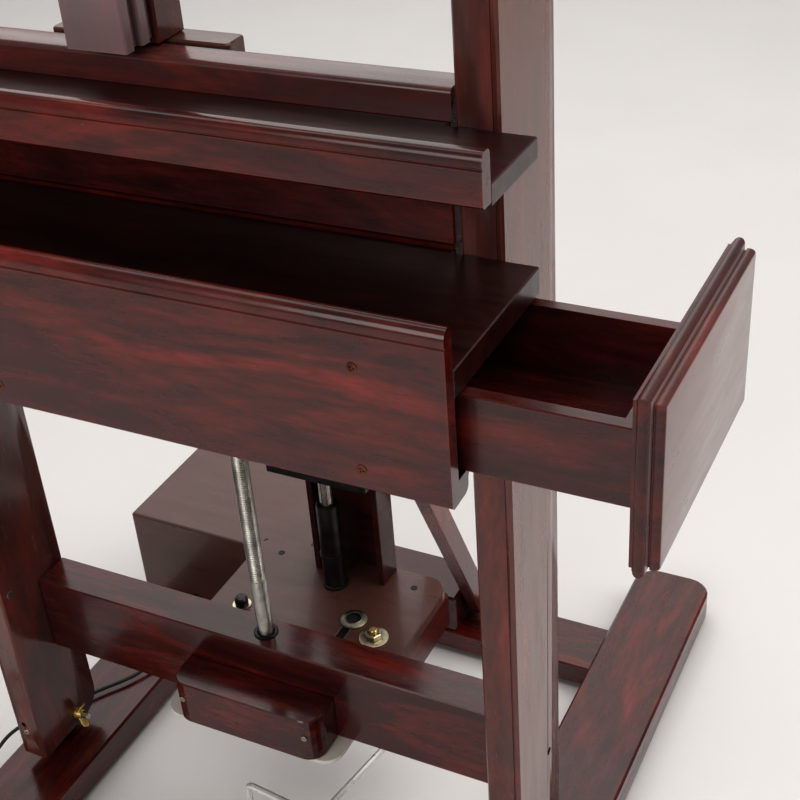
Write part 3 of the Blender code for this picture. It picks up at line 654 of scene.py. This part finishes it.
def make_small_fixings():
    """Screws, the fittings on the platform, the actuator's tube, plugs, pivot bolts and wing nuts."""
    bolt_face, sunk_face = 0.3483, 0.3325
    for row in SCREWS:
        cross_head(*row)
    top = PLATFORM_TOP
    nut, stop, ferrule = (0.0885, 0.174), (-0.089, 0.167), (0.052, 0.193)
    turned("platform_washer", [(0.0062, 0), (0.0175, 0), (0.0175, 0.0014), (0.0165, 0.0017),
                               (0.0062, 0.0017)],
           "Z", (*nut, top), CREAM, "frame", closed=True)
    turned("platform_hex_nut", [(0.0088, 0), (0.0100, 0.0006), (0.0100, 0.0060), (0.0086, 0.0069),
                                (0.0062, 0.0069), (0.0056, 0.0060), (0.0056, 0)],
           "Z", (*nut, top + 0.0018), CREAM, "frame", sides=6, closed=True)
    turned("platform_bolt_end", [(0.0050, 0), (0.0050, 0.0110), (0.0040, 0.0122), (0.0, 0.0123)],
           "Z", (*nut, top + 0.0018), BRASS, "frame")
    turned("stop_washer", [(0.0062, 0), (0.0115, 0), (0.0115, 0.0014), (0.0062, 0.0014)],
           "Z", (*stop, top), CREAM, "frame", closed=True)
    turned("stop_cap", [(0.0080, 0), (0.0084, 0.004), (0.0080, 0.0085), (0.0062, 0.0108), (0.0030, 0.0118),
                        (0.0, 0.0120)],
           "Z", (*stop, top + 0.0017), PLASTIC, "frame")
    turned("ferrule_ring", [(0.0085, 0), (0.0165, 0), (0.0165, 0.0014), (0.0150, 0.0026), (0.0118, 0.0030),
                            (0.0100, 0.0042), (0.0085, 0.0040)],
           "Z", (*ferrule, top), OLIVE, "frame", ["platform_ferrule"], closed=True)
    turned("ferrule_well", [(0.0082, 0), (0.0082, 0.0006), (0.0, 0.0007)], "Z", (*ferrule, top),
           SHADOW, "frame")
    plain_box("ferrule_strap", (0.0452, 0.0558), (0.150, 0.1762), (top, top + 0.0008), BLACK_STEEL,
              "frame")
    # olive bars along the strap's two edges: painted highlights on its chamfers
    for end, x in (("left", (0.0440, 0.0451)), ("right", (0.0559, 0.0570))):
        plain_box("ferrule_strap_painted_highlight_" + end, x, (0.150, 0.1762), (top, top + 0.0014), OLIVE,
                  "frame")
    turned("tube_body", [(0.0095, 0.070), (0.0140, 0.070), (0.0140, 0.2600), (0.0155, 0.2606),
                         (0.0155, 0.2640), (0.0140, 0.2646), (0.0140, 0.3050), (0.0153, 0.3054),
                         (0.0153, 0.3116), (0.0140, 0.3120), (0.0140, 0.3810), (0.0132, 0.3840),
                         (0.0118, 0.3850), (0.0095, 0.3850)],
           "Z", (0, 0.245, 0), BLACK_STEEL, "frame", ["actuator_tube"], closed=True)
    turned("upright_plug", [(0.0050, 0), (0.0050, 0.0007), (0.0042, 0.0012), (0.0, 0.0012)],
           "X", (-UPRIGHT_IN, 0.015, 0.329), OLIVE, "frame")
    for label, side in SIDES:
        x = side * bolt_face
        turned("pivot_bolt_head_" + label, [(0.0090, 0), (0.0098, side * 0.0006), (0.0098, side * 0.0040),
                                            (0.0084, side * 0.0050), (0.0, side * 0.0052)],
               "X", (x, PIVOT_Y, PIVOT_Z), ZINC, "base", (), 6)
        turned("pivot_bolt_shank_" + label, [(0.0038, side * -0.0605), (0.0046, side * -0.0594),
                                             (0.0046, side * -0.0001)],
               "X", (x, PIVOT_Y, PIVOT_Z), BRIGHT, "base", ["pivot_bolt_" + label], 24)
        make_wing_nut(label, side)
        turned("sunk_bolt_" + label, [(0.0042, 0.0), (0.0042, side * 0.003), (0.0, side * 0.0032)],
               "X", (side * sunk_face, 0.080, 0.269), BLACK_STEEL, "frame")


WING = (                                     # reach, lean, half depth and half thickness of a wing
    (0.0052, 0.0040, 0.0046, 0.0032), (0.0085, 0.0062, 0.0044, 0.0026),
    (0.0120, 0.0088, 0.0056, 0.0023), (0.0150, 0.0112, 0.0062, 0.0023),
    (0.0172, 0.0128, 0.0050, 0.0020), (0.0184, 0.0136, 0.0024, 0.0012),
)


def make_wing_nut(label, side):
    """A coned hub with two swept wings, upright as the easel stands."""
    x0, y, z = side * 0.3070, PIVOT_Y, PIVOT_Z
    inward = -side
    rings = []
    for radius, depth in ((0.0048, 0.0), (0.0074, 0.0), (0.0076, 0.0012), (0.0066, 0.0060), (0.0058, 0.0094),
                          (0.0048, 0.0098)):
        rings.append([at(x0 + inward * depth, y + u, z + v) for u, v in circle(radius, 28)])
    piece("wing_nut_hub_" + label, loft("wing_nut_hub_" + label, rings, closed=True), BRASS,
          "wing_" + label, ["wing_nut_" + label])
    for end, up in (("upper", 1), ("lower", -1)):
        rings = []
        for reach, lean, half_y, half_x in WING:
            rings.append([at(x0 + inward * lean + half_x * v, y + half_y * u, z + up * reach)
                          for u, v in circle(1.0, 20)])
        piece(f"wing_nut_{end}_wing_{label}", loft("wing", rings), BRASS, "wing_" + label, (), 60)


def make_knob():
    """The fluted clamp knob, turned about Y."""
    front, height, flutes, sides = -0.062, 1.710, 9, 72
    rings = []
    for radius, depth, flute in ((0.0060, 0.0003, 0), (0.0060, 0.0080, 0), (0.0160, 0.0100, 0.3),
                                 (0.0186, 0.0140, 1), (0.0186, 0.0210, 1), (0.0160, 0.0255, 0.5),
                                 (0.0090, 0.0268, 0), (0.0001, 0.0270, 0)):
        ring = []
        for i in range(sides):
            a = 2 * math.pi * i / sides
            r = radius * (1 - 0.05 * flute * (0.5 + 0.5 * math.cos(flutes * a)))
            ring.append(at(r * math.cos(a), front - depth, height + r * math.sin(a)))
        rings.append(ring)
    piece("clamp_knob_fluted", loft("clamp_knob_fluted", rings), PLASTIC, "knob",
          ["clamp_knob"], 40)


make_mouldings()
make_drawer_front()
make_uprights()
make_mast()
make_lead_screw()
make_small_fixings()
make_knob()


# ------------------------------------------------------------------ floor and light
def make_stage():
    """A pale floor that sweeps up into the wall behind the easel."""
    x_half, near, bend, radius, top = 7, -6, 3.5, 1.5, 6
    g = Graph("pale floor")
    place = g.add("ShaderNodeTexCoord").outputs["Object"]
    colour = g.ramp(g.noise(place, 2.0, 3.0), [(0.3, (0.77, 0.755, 0.745)), (0.7, (0.80, 0.785, 0.775))])
    g.finish(Base_Color=colour, Roughness=0.55)
    sweep = [(bend + radius * math.sin(a), radius - radius * math.cos(a))
             for a in map(math.radians, range(10, 91, 10))]
    bm = bmesh.new()
    rows = []
    for y, z in [(near, 0), (bend, 0)] + sweep + [(bend + radius, top)]:
        rows.append([bm.verts.new((x, y, z)) for x in (-x_half, x_half)])
    for a, b in zip(rows, rows[1:]):
        bm.faces.new((a[0], a[1], b[1], b[0]))
    floor = bpy.data.objects.new("floor", to_mesh("floor", bm))
    floor.data.materials.append(g.material)
    for face in floor.data.polygons:
        face.use_smooth = True
    SCENE.collection.objects.link(floor)


WARM = (1.0, 0.975, 0.955)
AMBIENT, AMBIENT_STRENGTH = (1.0, 0.98, 0.965), 0.22
LIGHTS = [                                   # name, place, target, size in metres, power in watts
    ("top softbox", (0.1, 0.7, 3.4), (0.1, 0.4, 0.0), (4.2, 3.0), 58),
    ("rear softbox", (-2.3, 3.6, 3.4), (0.0, 0.2, 0.7), (4.6, 3.0), 46),
    ("right softbox", (2.9, 0.7, 2.6), (1.3, 0.5, 0.0), (1.8, 2.4), 34),
    ("back wash", (0.6, 2.0, 2.8), (0.9, 3.6, 0.4), (3.0, 1.2), 8),
    ("front fill", (-0.1, -3.1, 1.8), (0, 0, 0.7), (2.6, 1.8), 40),
]


def area_light(name, place, target, size, power):
    """A soft rectangular light."""
    data = bpy.data.lights.new(name, "AREA")
    data.shape = "RECTANGLE"
    data.size, data.size_y = size
    data.energy = power
    data.color = WARM
    light = bpy.data.objects.new(name, data)
    light.location = place
    light.rotation_euler = (Vector(target) - Vector(place)).to_track_quat("-Z", "Y").to_euler()
    SCENE.collection.objects.link(light)


def make_world():
    """Even pale light from all round, and the tone curve of the picture."""
    world = SCENE.world or bpy.data.worlds.new("studio")
    SCENE.world = world
    world.use_nodes = True
    background = world.node_tree.nodes["Background"]
    background.inputs["Color"].default_value = (*AMBIENT, 1.0)
    background.inputs["Strength"].default_value = AMBIENT_STRENGTH
    SCENE.view_settings.view_transform = "Standard"
    SCENE.view_settings.look = "Medium High Contrast"


make_stage()
for row in LIGHTS:
    area_light(*row)
make_world()
